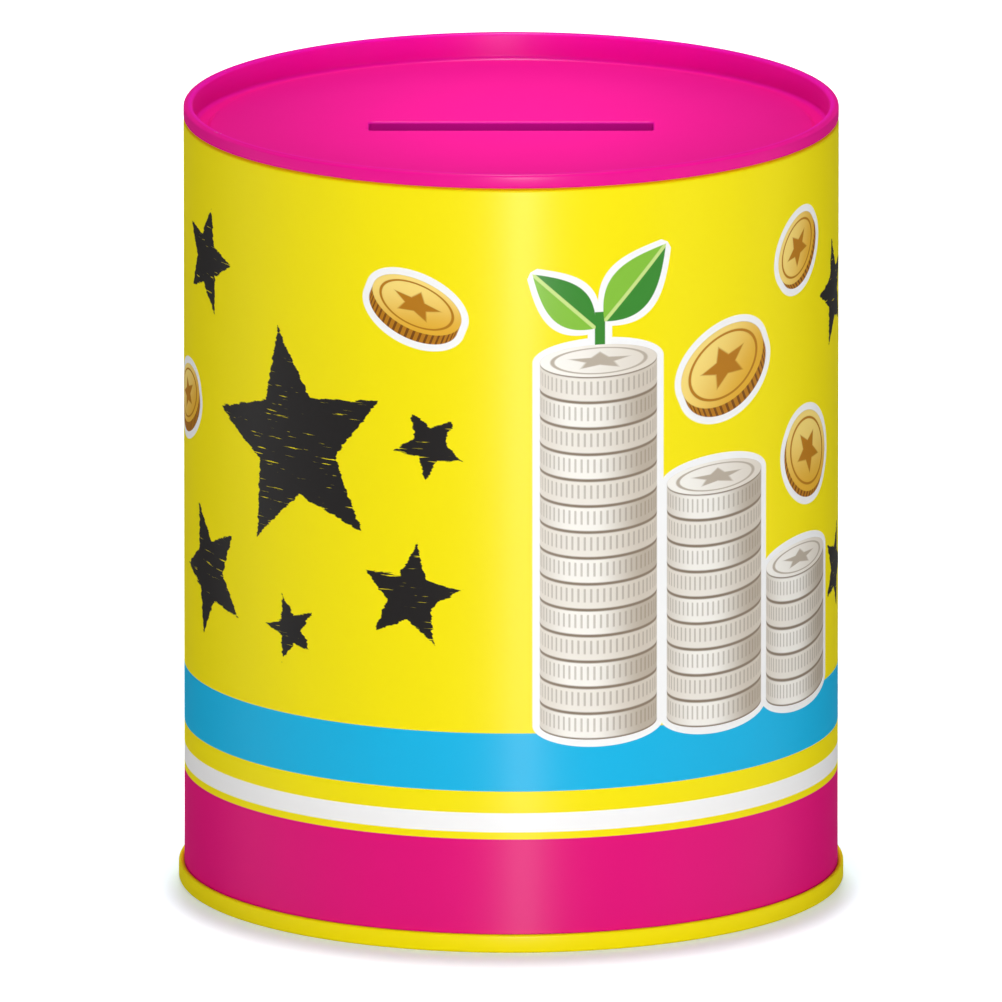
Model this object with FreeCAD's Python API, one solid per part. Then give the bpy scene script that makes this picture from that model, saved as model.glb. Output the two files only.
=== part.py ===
import FreeCAD, Part

import math
import os

# Tin money box: a rolled tinplate body with a folded side seam, closed by two double-seamed ends.
# The top end carries the coin slot. A soft plastic stopper pulls out of the base end to empty the box.
# Millimetres, +Z up. The origin is on the axis, in the plane that the base rim rests on.
# The slot runs along X, the front faces -Y, and the side seam is at the back, on +Y.

Vector = FreeCAD.Vector

# Overall size
body_diameter = 99.0  # outside of the wall
overall_height = 120.0

# Tinplate
body_sheet = 0.22
end_sheet = 0.25

# Double seams that join both ends to the body
top_seam_height = 2.2
base_seam_height = 2.85
seam_gap = 0.05  # between layers that lie on each other
seam_bend = 0.35  # middle radius of the bends at the rim's crown
hook_gap = 0.25  # from the edge of each hook to the bend of the other
compound_film = 0.12  # thinnest place of the sealing compound

# Shoulder that draws the body in under the top seam, so that the rim is flush with the wall
shoulder_slope = 20.0  # degrees from level
shoulder_bend = 0.3
shoulder_gap = 0.1  # from the seam's foot to the shoulder's corner

# Folded side seam
side_seam_width = 3.0  # between the two folds
side_seam_gap = 0.05
side_seam_overlap_end = 0.3  # from the edge of each hook to the other's fold
side_seam_joggle = 1.0  # length of the slope that takes one edge under the other
side_seam_stop = 1.0  # from each end's inner face to the folds, where a plain lap is left

# Top end
lid_recess = 3.6  # from the rim's crown to the panel
lid_groove_width = 2.2  # countersunk groove round the panel
lid_groove_depth = 0.6
panel_bend = 0.5
chuck_bend = 1.0

# Coin slot
slot_length = 43.0
slot_width = 6.0
slot_corner = 0.6
slot_lip = 2.2  # depth of the edge that is turned down inside
slot_bend = 0.3

# Base end
base_recess = 5.0  # from the resting plane to the panel
base_groove_width = 2.4
base_groove_depth = 0.8
base_bead_radius = 33.0  # middle of the stiffening bead
base_bead_width = 7.0
base_bead_height = 0.8
base_hole_diameter = 40.0
base_hole_lip = 3.4  # height of the edge that is turned up inside
base_hole_bend = 0.5

# Stopper
stopper_fit = 0.05  # from its ribs to the hole
stopper_seat = 0.05  # from its flange to the base panel
stopper_flange_diameter = 50.0
stopper_flange_thickness = 1.6
stopper_flange_round = 0.5
stopper_height = 8.0  # above the flange
stopper_wall = 1.5
stopper_rib = 0.5  # how far each rib stands out of the neck
stopper_rib_count = 2
stopper_lead_in = 1.0
stopper_web = 1.8  # thickness of the web across the cup
stopper_grip_diameter = 4.6  # finger bar along the web's edge

# Worked-out places
body_radius = body_diameter / 2
wall_inside = body_radius - body_sheet
hook_bend = (body_sheet + end_sheet) / 2 + seam_gap
crown_level = end_sheet / 2
body_turn_level = end_sheet + seam_gap + compound_film + seam_gap + body_sheet / 2
cover_hook_level = body_turn_level + body_sheet / 2 + hook_gap
seam_stack = 2 * body_sheet + 2 * end_sheet + 3 * seam_gap  # from the body's inner face to the rim's outside
neck_inside = body_radius - seam_stack


def from_top(level):
    return overall_height - level


def from_base(level):
    return level


class DoubleSeam:
    """Middle radius of each layer of a seam, from the inside out, and how far its folds reach from the crown."""

    def __init__(self, inside, seam_height):
        self.chuck_wall = inside - seam_gap - end_sheet / 2
        self.body_wall = inside + body_sheet / 2
        self.cover_hook = self.body_wall + hook_bend
        self.body_hook = self.cover_hook + hook_bend
        self.outer_wall = self.body_hook + hook_bend
        self.foot_level = seam_height - end_sheet / 2
        self.body_hook_level = seam_height - end_sheet - hook_gap


top_seam = DoubleSeam(neck_inside, top_seam_height)
base_seam = DoubleSeam(wall_inside, base_seam_height)


# Drawing helpers. A run is a list of point pairs for lines and point triples for arcs.

def upright(u, v):
    return Vector(u, 0, v)


def direction(a, b):
    length = math.hypot(b[0] - a[0], b[1] - a[1])
    return (b[0] - a[0]) / length, (b[1] - a[1]) / length


def along(point, way, distance):
    return point[0] + way[0] * distance, point[1] + way[1] * distance


def rounded_corner(before, corner, after, radius, offset):
    """Start, middle and end of a corner's arc, shifted to the left of the path by offset."""
    way_in, way_out = direction(before, corner), direction(corner, after)
    turn = math.atan2(
        way_in[0] * way_out[1] - way_in[1] * way_out[0], way_in[0] * way_out[0] + way_in[1] * way_out[1]
    )
    half_tangent = math.tan(abs(turn) / 2)
    room = min(math.dist(before, corner), math.dist(corner, after)) / 2
    radius = min(radius, room / half_tangent)
    side = math.copysign(1, turn)
    left_in, left_out = (-way_in[1], way_in[0]), (-way_out[1], way_out[0])
    start = along(corner, way_in, -radius * half_tangent)
    end = along(corner, way_out, radius * half_tangent)
    centre = along(start, left_in, side * radius)
    middle_way = direction((0, 0), (left_in[0] + left_out[0], left_in[1] + left_out[1]))
    middle = along(centre, middle_way, offset - side * radius)
    return along(start, left_in, offset), middle, along(end, left_out, offset)


def rounded_run(path, radii, offset=0.0):
    """The path with its inner corners rounded, shifted to its left by offset."""
    first_way, last_way = direction(path[0], path[1]), direction(path[-2], path[-1])
    here = along(path[0], (-first_way[1], first_way[0]), offset)
    run = []
    for before, corner, after, radius in zip(path, path[1:], path[2:], radii):
        start, middle, end = rounded_corner(before, corner, after, radius, offset)
        run.append((here, start))
        run.append((start, middle, end))
        here = end
    run.append((here, along(path[-1], (-last_way[1], last_way[0]), offset)))
    return run


def backwards(run):
    return [piece[::-1] for piece in reversed(run)]


def face_of(run, place=upright):
    """The face inside a closed run."""
    edges = []
    for piece in run:
        points = [place(*point) for point in piece]
        if points[0].distanceToPoint(points[-1]) < 1e-6:
            continue
        edges.append(Part.Arc(*points).toShape() if len(points) == 3 else Part.makeLine(*points))
    return Part.Face(Part.Wire(edges))


def sheet_face(path, bends, thickness, place=upright):
    """Section of a sheet folded along path, its middle line, with a bend radius at each inner corner."""
    left = rounded_run(path, bends, thickness / 2)
    right = backwards(rounded_run(path, bends, -thickness / 2))
    run = left + [(left[-1][-1], right[0][0])] + right + [(right[-1][-1], left[0][0])]
    return face_of(run, place)


def turned(face):
    return face.revolve(Vector(0, 0, 0), Vector(0, 0, 1), 360)


# The double seams

def end_rim(seam, height):
    """Middle line of an end's rim, from the chuck wall over the crown to the cover hook, and its bends."""
    path = [
        (seam.chuck_wall, height(crown_level)),
        (seam.outer_wall, height(crown_level)),
        (seam.outer_wall, height(seam.foot_level)),
        (seam.cover_hook, height(seam.foot_level)),
        (seam.cover_hook, height(cover_hook_level)),
    ]
    return path, [seam_bend, seam_bend, hook_bend, hook_bend]


def body_hook(seam, height):
    """Middle line of the body's hook, from the wall round the turn to the hook's edge, and its bends."""
    path = [
        (seam.body_wall, height(body_turn_level)),
        (seam.body_hook, height(body_turn_level)),
        (seam.body_hook, height(seam.body_hook_level)),
    ]
    return path, [hook_bend, hook_bend]


def seam_compound(seam, height):
    """Ring of sealing compound between the end's crown and the turn of the body hook."""
    centre_radius = (seam.body_wall + seam.body_hook) / 2
    half_width = (seam.outer_wall - seam.chuck_wall) / 2 - seam_bend
    turn_radius = hook_bend + body_sheet / 2 + seam_gap
    edge_angle = math.asin(half_width / turn_radius)
    flat_half_width = turn_radius * math.tan(edge_angle / 2)
    crown_face = end_sheet + seam_gap
    middle_level = crown_face + compound_film
    edge_level = middle_level + turn_radius * (1 - math.cos(edge_angle))
    corners = [
        (centre_radius - half_width, height(crown_face)),
        (centre_radius + half_width, height(crown_face)),
        (centre_radius + half_width, height(edge_level)),
        (centre_radius + flat_half_width, height(middle_level)),
        (centre_radius - flat_half_width, height(middle_level)),
        (centre_radius - half_width, height(edge_level)),
    ]
    return turned(face_of(list(zip(corners, corners[1:] + corners[:1]))))


# The body

def round_the_back(radius, distance):
    """Point at that radius, that far round the wall from the middle of the side seam."""
    angle = math.pi / 2 + distance / body_radius
    return radius * math.cos(angle), radius * math.sin(angle)


def wall_arc(radius, start, end):
    return tuple(round_the_back(radius, distance) for distance in (start, (start + end) / 2, end))


def fold_arc(radius, distance, bend, way, outward):
    """Half circle that folds the sheet back on itself, bulging round the wall in the given way."""
    angle = math.pi / 2 + distance / body_radius
    centre = round_the_back(radius, distance)
    bulge = along(centre, (-math.sin(angle), math.cos(angle)), way * bend)
    ends = round_the_back(radius - bend, distance), round_the_back(radius + bend, distance)
    return (ends[0], bulge, ends[1]) if outward else (ends[1], bulge, ends[0])


def side_seamed_section():
    """Section of the rolled sheet: one edge folds in, the other dips under it and hooks into the fold."""
    half = body_sheet / 2
    step = body_sheet + side_seam_gap
    layers = [body_radius - half - number * step for number in range(4)]
    fold = side_seam_width / 2
    hook = fold - side_seam_overlap_end
    dip_end = -fold - step - half
    dip_start = dip_end - side_seam_joggle
    far_side = math.pi * body_radius
    mitre = half * math.tan(math.atan2(3 * step, side_seam_joggle) / 2)

    folded_edge = [
        wall_arc(layers[0] + half, far_side, -fold),
        fold_arc(layers[1], -fold, step + half, -1, outward=False),
        wall_arc(layers[2] - half, -fold, hook),
        (round_the_back(layers[2] - half, hook), round_the_back(layers[2] + half, hook)),
        wall_arc(layers[2] + half, hook, -fold),
        fold_arc(layers[1], -fold, step - half, -1, outward=True),
        wall_arc(layers[0] - half, -fold, far_side),
    ]
    dipped_edge = [
        wall_arc(layers[0] - half, -far_side, dip_start - mitre),
        (
            round_the_back(layers[0] - half, dip_start - mitre),
            round_the_back(layers[3] - half, dip_end - mitre),
        ),
        wall_arc(layers[3] - half, dip_end - mitre, fold),
        fold_arc(layers[2], fold, step + half, 1, outward=True),
        wall_arc(layers[1] + half, fold, -hook),
        (round_the_back(layers[1] + half, -hook), round_the_back(layers[1] - half, -hook)),
        wall_arc(layers[1] - half, -hook, fold),
        fold_arc(layers[2], fold, step - half, 1, outward=False),
        wall_arc(layers[3] + half, fold, dip_end + mitre),
        (
            round_the_back(layers[3] + half, dip_end + mitre),
            round_the_back(layers[0] + half, dip_start + mitre),
        ),
        wall_arc(layers[0] + half, dip_start + mitre, -far_side),
    ]
    return face_of(folded_edge + dipped_edge, lambda x, y: Vector(x, y, 0))


def body_wall():
    """Rolled body: hooked rings at both ends, and between them the wall with its side seam."""
    neck_level = top_seam_height + shoulder_gap
    shoulder_fall = (base_seam.body_wall - top_seam.body_wall) * math.tan(math.radians(shoulder_slope))
    shoulder_height = from_top(neck_level + shoulder_fall)
    wall_foot = from_base(base_recess + base_groove_depth + end_sheet + side_seam_stop)
    wall_head = from_top(lid_recess + lid_groove_depth + end_sheet + side_seam_stop)

    base_path, base_bends = body_hook(base_seam, from_base)
    base_ring = turned(sheet_face([(base_seam.body_wall, wall_foot)] + base_path, base_bends, body_sheet))

    hook_path, hook_bends = body_hook(top_seam, from_top)
    shoulder = [
        (base_seam.body_wall, wall_head),
        (base_seam.body_wall, shoulder_height),
        (top_seam.body_wall, from_top(neck_level)),
    ]
    top_ring = turned(sheet_face(shoulder + hook_path, [shoulder_bend] * 2 + hook_bends, body_sheet))

    wall = side_seamed_section().extrude(Vector(0, 0, wall_head - wall_foot))
    wall.translate(Vector(0, 0, wall_foot))
    return wall.fuse([base_ring, top_ring]).removeSplitter()


# The ends

def slot_outline(grow, height):
    """Rounded outline of the slot, grown outwards, starting in the middle of the front edge."""
    half_length, half_width = slot_length / 2 + grow, slot_width / 2 + grow
    corners = [
        (0, -half_width),
        (half_length, -half_width),
        (half_length, half_width),
        (-half_length, half_width),
        (-half_length, -half_width),
        (0, -half_width),
    ]
    edges = []
    for piece in rounded_run(corners, [slot_corner + grow] * 4):
        points = [Vector(x, y, height) for x, y in piece]
        edges.append(Part.Arc(*points).toShape() if len(points) == 3 else Part.makeLine(*points))
    return Part.Wire(edges)


def slot_edge(panel_height):
    """Edge of the slot, bent down and drawn round the outline."""
    path = [
        (end_sheet / 2, panel_height - end_sheet / 2 - slot_lip),
        (end_sheet / 2, panel_height),
        (end_sheet / 2 + slot_bend, panel_height),
    ]
    section = sheet_face(path, [slot_bend], end_sheet, lambda u, v: Vector(0, -slot_width / 2 - u, v))
    return slot_outline(0, panel_height).makePipeShell([section.OuterWire], True, True)


def top_end():
    """Top end: seamed rim, countersunk groove, and a flat panel with the coin slot."""
    panel_height = from_top(lid_recess + end_sheet / 2)
    groove_height = panel_height - lid_groove_depth
    groove_inside = top_seam.chuck_wall - lid_groove_width
    rim_path, rim_bends = end_rim(top_seam, from_top)
    path = [
        (0, panel_height),
        (groove_inside - lid_groove_depth, panel_height),
        (groove_inside, groove_height),
        (top_seam.chuck_wall, groove_height),
    ]
    bends = [panel_bend, panel_bend, chuck_bend]
    end = turned(sheet_face(path + rim_path, bends + rim_bends, end_sheet))

    bend_reach = end_sheet / 2 + slot_bend
    window_face = Part.Face(slot_outline(bend_reach, panel_height - end_sheet))
    window = window_face.extrude(Vector(0, 0, 2 * end_sheet))
    return end.cut(window).fuse(slot_edge(panel_height)).removeSplitter()


def base_end():
    """Base end: seamed rim, countersunk groove, bead, and the stopper's hole with its edge turned in."""
    panel_height = base_recess + end_sheet / 2
    groove_height = panel_height + base_groove_depth
    bead_height = panel_height + base_bead_height
    groove_inside = base_seam.chuck_wall - base_groove_width
    lip_radius = base_hole_diameter / 2 + end_sheet / 2
    bead_inside = base_bead_radius - base_bead_width / 2
    bead_outside = base_bead_radius + base_bead_width / 2
    rim_path, rim_bends = end_rim(base_seam, from_base)
    path = [
        (lip_radius, base_recess + base_hole_lip),
        (lip_radius, panel_height),
        (bead_inside, panel_height),
        (bead_inside + base_bead_height, bead_height),
        (bead_outside - base_bead_height, bead_height),
        (bead_outside, panel_height),
        (groove_inside - base_groove_depth, panel_height),
        (groove_inside, groove_height),
        (base_seam.chuck_wall, groove_height),
    ]
    bends = [base_hole_bend] + [panel_bend] * 6 + [chuck_bend]
    return turned(sheet_face(path + rim_path, bends + rim_bends, end_sheet))


# The stopper

def stopper():
    """Soft stopper: ribbed neck and flange round a cup that opens downwards, with a finger bar across it."""
    hole_radius = base_hole_diameter / 2
    flange_radius = stopper_flange_diameter / 2
    neck_radius = hole_radius - stopper_fit - stopper_rib
    cup_radius = neck_radius - stopper_wall
    flange_top = base_recess - stopper_seat
    flange_foot = flange_top - stopper_flange_thickness
    roof_top = flange_top + stopper_height
    roof_under = roof_top - stopper_wall

    outline = [
        (0, roof_top),
        (neck_radius - stopper_lead_in, roof_top),
        (neck_radius, roof_top - 2 * stopper_lead_in),
        (neck_radius, flange_top),
        (flange_radius, flange_top),
        (flange_radius, flange_foot),
        (cup_radius, flange_foot),
        (cup_radius, roof_under),
        (0, roof_under),
    ]
    small_round = stopper_flange_round / 2
    rounds = [
        stopper_flange_round,
        stopper_flange_round,
        small_round,
        small_round,
        stopper_flange_round,
        stopper_flange_round,
        stopper_flange_round,
    ]
    run = rounded_run(outline, rounds) + [(outline[-1], outline[0])]
    body = turned(face_of(run))

    rib_pitch = base_hole_lip / (stopper_rib_count + 1)
    for number in range(1, stopper_rib_count + 1):
        height = base_recess + number * rib_pitch
        body = body.fuse(Part.makeTorus(neck_radius, stopper_rib, Vector(0, 0, height)))

    grip_radius = stopper_grip_diameter / 2
    half_span = cup_radius + stopper_wall / 2
    web = Part.makeBox(
        2 * half_span,
        stopper_web,
        roof_under + stopper_wall / 2 - flange_foot - grip_radius,
        Vector(-half_span, -stopper_web / 2, flange_foot + grip_radius),
    )
    bar = Part.makeCylinder(
        grip_radius, 2 * half_span, Vector(-half_span, 0, flange_foot + grip_radius), Vector(1, 0, 0)
    )
    return body.fuse([web, bar]).removeSplitter()


pieces = {
    "body_wall": body_wall(),
    "top_end": top_end(),
    "base_end": base_end(),
    "top_seam_compound": seam_compound(top_seam, from_top),
    "base_seam_compound": seam_compound(base_seam, from_base),
    "base_stopper": stopper(),
}

os.makedirs("parts", exist_ok=True)
for name, shape in pieces.items():
    print(name, "solids", len(shape.Solids), "valid", shape.isValid(), "volume", round(shape.Volume, 2))
    shape.exportStep(f"parts/{name}.step")
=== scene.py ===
import math

import bpy
from mathutils import Matrix, Vector


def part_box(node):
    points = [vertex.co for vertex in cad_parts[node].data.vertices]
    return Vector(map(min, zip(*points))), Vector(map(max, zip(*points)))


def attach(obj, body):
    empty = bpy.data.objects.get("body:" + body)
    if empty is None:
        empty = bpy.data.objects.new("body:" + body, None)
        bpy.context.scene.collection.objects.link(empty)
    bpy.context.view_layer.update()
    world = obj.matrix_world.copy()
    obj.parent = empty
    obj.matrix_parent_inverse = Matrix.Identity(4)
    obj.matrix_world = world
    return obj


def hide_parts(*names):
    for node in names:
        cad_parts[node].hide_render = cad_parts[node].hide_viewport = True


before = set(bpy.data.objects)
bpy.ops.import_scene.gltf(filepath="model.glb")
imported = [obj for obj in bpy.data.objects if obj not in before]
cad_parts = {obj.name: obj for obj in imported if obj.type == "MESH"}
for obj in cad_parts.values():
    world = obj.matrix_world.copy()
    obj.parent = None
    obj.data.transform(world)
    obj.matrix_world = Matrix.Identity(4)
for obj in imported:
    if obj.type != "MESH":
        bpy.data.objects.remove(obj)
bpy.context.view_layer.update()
mm = 0.001
placeSlack = 0.05  # how near counts as there, in mm

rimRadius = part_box("top_end")[1].x / mm
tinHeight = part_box("top_end")[1].z / mm
print("frame loaded, rim radius", round(rimRadius, 2), "height", round(tinHeight, 2))


# modelling helpers, all in mm

def clearSelection():
    if bpy.context.mode != "OBJECT":
        bpy.ops.object.mode_set(mode="OBJECT")
    bpy.ops.object.select_all(action="DESELECT")


def bendLine(corners, bends, steps=6):  # rounds the corners of a sheet's middle line
    points = [Vector(corner) for corner in corners]
    line = [points[0]]
    for before, corner, after, bend in zip(points, points[1:], points[2:], bends):
        wayIn, wayOut = (corner - before).normalized(), (after - corner).normalized()
        half = wayIn.angle(wayOut) / 2
        room = min((corner - before).length, (after - corner).length) / 2
        reach = min(bend * math.tan(half), room)
        radius = reach / math.tan(half)
        swing = math.copysign(2 * half, wayIn.cross(wayOut))
        centre = corner + (wayOut - wayIn).normalized() * radius / math.cos(half)
        spoke = corner - wayIn * reach - centre
        for step in range(steps + 1):
            line.append(centre + Matrix.Rotation(swing * step / steps, 2) @ spoke)
    line.append(points[-1])
    return [here for here, last in zip(line, [None] + line) if last is None or (here - last).length > 1e-4]


def drawLine(name, line):  # a plane merged to one point, then extruded along the line
    clearSelection()
    bpy.ops.mesh.primitive_plane_add(size=mm, location=(0, 0, 0))
    piece = bpy.context.object
    piece.name = piece.data.name = name
    bpy.ops.object.mode_set(mode="EDIT")
    bpy.ops.mesh.select_mode(type="VERT")
    bpy.ops.mesh.select_all(action="SELECT")
    bpy.ops.mesh.merge(type="CENTER")
    bpy.ops.transform.translate(value=(line[0].x * mm, 0, line[0].y * mm))
    for here, there in zip(line, line[1:]):
        step = ((there.x - here.x) * mm, 0, (there.y - here.y) * mm)
        bpy.ops.mesh.extrude_region_move(TRANSFORM_OT_translate={"value": step})
    return piece


def spinRound(steps):
    bpy.ops.mesh.select_all(action="SELECT")
    bpy.ops.mesh.spin(steps=steps, angle=2 * math.pi, center=(0, 0, 0), axis=(0, 0, 1))
    mergeDoubles()


def mergeDoubles():
    bpy.ops.mesh.select_all(action="SELECT")
    bpy.ops.mesh.remove_doubles(threshold=0.002 * mm)
    bpy.ops.mesh.normals_make_consistent(inside=False)


def pickVerts(piece, test):
    bpy.ops.mesh.select_mode(type="VERT")
    bpy.ops.mesh.select_all(action="DESELECT")
    bpy.ops.object.mode_set(mode="OBJECT")
    for vertex in piece.data.vertices:
        vertex.select = test(vertex.co / mm)
    bpy.ops.object.mode_set(mode="EDIT")


def pickFaces(piece, test):
    bpy.ops.mesh.select_mode(type="FACE")
    bpy.ops.mesh.select_all(action="DESELECT")
    bpy.ops.object.mode_set(mode="OBJECT")
    for face in piece.data.polygons:
        face.select = test(face.center / mm, face.normal)
    bpy.ops.object.mode_set(mode="EDIT")


def faceTheSheet(piece, test, way):  # turns the printed side outwards
    bpy.ops.object.mode_set(mode="OBJECT")
    sample = next(face for face in piece.data.polygons if test(face.center / mm))
    wrong = sample.normal.dot(Vector(way)) < 0
    bpy.ops.object.mode_set(mode="EDIT")
    if wrong:
        bpy.ops.mesh.select_all(action="SELECT")
        bpy.ops.mesh.flip_normals()


def thicken(piece, thickness, outside, within):  # sheet on both sides of the middle line
    bpy.ops.object.mode_set(mode="OBJECT")
    piece.data.materials.append(outside)
    piece.data.materials.append(within)
    sheet = piece.modifiers.new("sheet", "SOLIDIFY")
    sheet.thickness = thickness * mm
    sheet.offset = 0
    sheet.use_even_offset = True
    sheet.material_offset = 1
    sheet.material_offset_rim = 1
    bpy.ops.object.modifier_apply(modifier="sheet")


def finishPiece(piece, node, body, smoothAngle=38):
    bpy.ops.object.shade_smooth_by_angle(angle=math.radians(smoothAngle))
    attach(piece, body)
    if node:
        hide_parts(node)
    print(piece.name, len(piece.data.polygons), "faces")


# node helpers

def calc(tree, operation, *values, clamp=False):
    node = tree.nodes.new("ShaderNodeMath")
    node.operation = operation
    node.use_clamp = clamp
    for socket, value in zip(node.inputs, values):
        plug(tree, socket, value)
    return node.outputs[0]


def plug(tree, socket, value):
    if isinstance(value, bpy.types.NodeSocket):
        tree.links.new(value, socket)
    else:
        socket.default_value = value


def blendInk(tree, mask, under, over):
    node = tree.nodes.new("ShaderNodeMix")
    node.data_type = "RGBA"
    plug(tree, node.inputs["Factor"], mask)
    plug(tree, node.inputs[6], under)
    plug(tree, node.inputs[7], over)
    return node.outputs[2]


def tinted(tree, colour, amount):
    node = tree.nodes.new("ShaderNodeVectorMath")
    node.operation = "SCALE"
    plug(tree, node.inputs[0], colour)
    plug(tree, node.inputs["Scale"], amount)
    return node.outputs[0]


def inside(tree, distance, soft):  # 1 where the distance is below 0, with a soft edge
    return calc(tree, "MULTIPLY_ADD", distance, -1 / soft, 0.5, clamp=True)


def band(tree, value, low, high, soft):
    above = calc(tree, "MULTIPLY_ADD", value, 1 / soft, 0.5 - low / soft, clamp=True)
    below = calc(tree, "MULTIPLY_ADD", value, -1 / soft, 0.5 + high / soft, clamp=True)
    return calc(tree, "MULTIPLY", above, below)


def ease(tree, value, low, high):
    node = tree.nodes.new("ShaderNodeMapRange")
    node.interpolation_type = "SMOOTHSTEP"
    plug(tree, node.inputs["Value"], value)
    plug(tree, node.inputs["From Min"], low)
    plug(tree, node.inputs["From Max"], high)
    return node.outputs["Result"]


def lengthOf(tree, u, v):
    return calc(tree, "SQRT", calc(tree, "ADD", calc(tree, "MULTIPLY", u, u), calc(tree, "MULTIPLY", v, v)))


def noiseAt(tree, vector, scale, detail=2.0, rough=0.5):
    node = tree.nodes.new("ShaderNodeTexNoise")
    plug(tree, node.inputs["Vector"], vector)
    plug(tree, node.inputs["Scale"], scale)
    node.inputs["Detail"].default_value = detail
    node.inputs["Roughness"].default_value = rough
    return node.outputs["Fac"]


def stretched(tree, vector, scale, turn=(0, 0, 0)):
    node = tree.nodes.new("ShaderNodeMapping")
    plug(tree, node.inputs["Vector"], vector)
    node.inputs["Scale"].default_value = scale
    node.inputs["Rotation"].default_value = turn
    return node.outputs["Vector"]


def newGroup(name, inputs, outputs):
    group = bpy.data.node_groups.new(name, "ShaderNodeTree")
    for label, start in inputs.items():
        kind = "NodeSocketFloat" if isinstance(start, (int, float)) else "NodeSocketVector"
        socket = group.interface.new_socket(name=label, in_out="INPUT", socket_type=kind)
        socket.default_value = start
    for label, kind in outputs.items():
        group.interface.new_socket(name=label, in_out="OUTPUT", socket_type=kind)
    return group, group.nodes.new("NodeGroupInput").outputs, group.nodes.new("NodeGroupOutput").inputs


def placeGroup(tree, group, **values):
    node = tree.nodes.new("ShaderNodeGroup")
    node.node_tree = group
    for label, value in values.items():
        plug(tree, node.inputs[label], value)
    return node.outputs


def newMaterial(name, **constants):
    material = bpy.data.materials.new(name)
    material.use_nodes = True
    tree = material.node_tree
    shader = tree.nodes["Principled BSDF"]
    for label, value in constants.items():
        shader.inputs[label.replace("_", " ")].default_value = value
    place = tree.nodes.new("ShaderNodeTexCoord").outputs["Object"]
    return material, tree, shader.inputs, place


def raiseSurface(tree, height, distance):
    node = tree.nodes.new("ShaderNodeBump")
    node.inputs["Distance"].default_value = distance * mm
    plug(tree, node.inputs["Height"], height)
    return node.outputs["Normal"]


mattRoughness = 0.96


def satin(tree, roughness):  # varnish turns matt where it is seen edge on
    node = tree.nodes.new("ShaderNodeLayerWeight")
    node.inputs["Blend"].default_value = 0.5
    edgeOn = ease(tree, node.outputs["Facing"], 0.2, 0.75)
    room = calc(tree, "SUBTRACT", mattRoughness, roughness)
    return calc(tree, "MULTIPLY_ADD", edgeOn, room, roughness)


def ink(red, green, blue):  # screen colour to a node colour
    def level(value):
        value = value / 255
        return value / 12.92 if value <= 0.04045 else ((value + 0.055) / 1.055) ** 2.4
    return level(red), level(green), level(blue), 1.0


# shared surface effects

varnishSkin, entry, leave = newGroup(
    "varnishSkin",
    {"Place": (0, 0, 0), "Peel": 900.0, "Gloss": 0.34, "Spread": 0.05},
    {"Roughness": "NodeSocketFloat", "Height": "NodeSocketFloat", "Tint": "NodeSocketFloat"},
)
peel = noiseAt(varnishSkin, entry["Place"], entry["Peel"], 1.5)  # roller marks in the wet varnish
sway = noiseAt(varnishSkin, entry["Place"], 22.0, 1.0)  # slow waves of the thin sheet
smear = noiseAt(varnishSkin, stretched(varnishSkin, entry["Place"], (1, 1, 0.35)), 60.0, 4.0, 0.6)
smearAside = calc(varnishSkin, "SUBTRACT", smear, 0.5)
roughNow = calc(varnishSkin, "MULTIPLY_ADD", smearAside, entry["Spread"], entry["Gloss"])
plug(varnishSkin, leave["Roughness"], roughNow)
plug(varnishSkin, leave["Height"], calc(varnishSkin, "MULTIPLY_ADD", sway, 12.0, peel))
plug(varnishSkin, leave["Tint"], calc(varnishSkin, "MULTIPLY_ADD", smearAside, 0.05, 1.0))

rubbedRim, entry, leave = newGroup(
    "rubbedRim",
    {"Place": (0, 0, 0), "Level": 0.0, "Reach": 0.3, "Amount": 0.5},
    {"Wear": "NodeSocketFloat"},
)
split = rubbedRim.nodes.new("ShaderNodeSeparateXYZ")
plug(rubbedRim, split.inputs[0], entry["Place"])
height = calc(rubbedRim, "DIVIDE", split.outputs["Z"], mm)
off = calc(rubbedRim, "ABSOLUTE", calc(rubbedRim, "SUBTRACT", height, entry["Level"]))
near = calc(rubbedRim, "SUBTRACT", 1.0, calc(rubbedRim, "DIVIDE", off, entry["Reach"]), clamp=True)
flakes = noiseAt(rubbedRim, entry["Place"], 420.0, 5.0, 0.65)
rubbed = calc(rubbedRim, "ADD", calc(rubbedRim, "MULTIPLY", near, entry["Amount"]), flakes)
plug(rubbedRim, leave["Wear"], calc(rubbedRim, "MULTIPLY", ease(rubbedRim, rubbed, 0.86, 0.94), near))

drawnMetal, entry, leave = newGroup(
    "drawnMetal",  # painted light: a lighter, cooler ink on the recess's wall and the lip of an opening, against the deeper shade and coloured bounce light there
    {"Place": (0, 0, 0), "Panel": 0.0, "Chuck": 48.0, "Opening": 30.0, "Side": 1.0},
    {"PaintedLift": "NodeSocketFloat", "Lip": "NodeSocketFloat"},
)
split = drawnMetal.nodes.new("ShaderNodeSeparateXYZ")
plug(drawnMetal, split.inputs[0], entry["Place"])
fromAxis = calc(drawnMetal, "DIVIDE", lengthOf(drawnMetal, split.outputs["X"], split.outputs["Y"]), mm)
fromChuck = calc(drawnMetal, "SUBTRACT", fromAxis, entry["Chuck"])
past = calc(drawnMetal, "SUBTRACT", entry["Panel"], calc(drawnMetal, "DIVIDE", split.outputs["Z"], mm))
past = calc(drawnMetal, "MULTIPLY", past, entry["Side"])  # how far behind the panel's face
within = calc(drawnMetal, "LESS_THAN", fromAxis, entry["Opening"])
lip = calc(drawnMetal, "MULTIPLY", ease(drawnMetal, past, 0.02, 0.2), within)
recessWall = band(drawnMetal, fromChuck, -0.5, 0.6, 0.4)
plug(drawnMetal, leave["Lip"], lip)
plug(drawnMetal, leave["PaintedLift"], calc(drawnMetal, "MAXIMUM", lip, recessWall))


# printed motifs; lengths in mm on the unrolled wall

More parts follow.
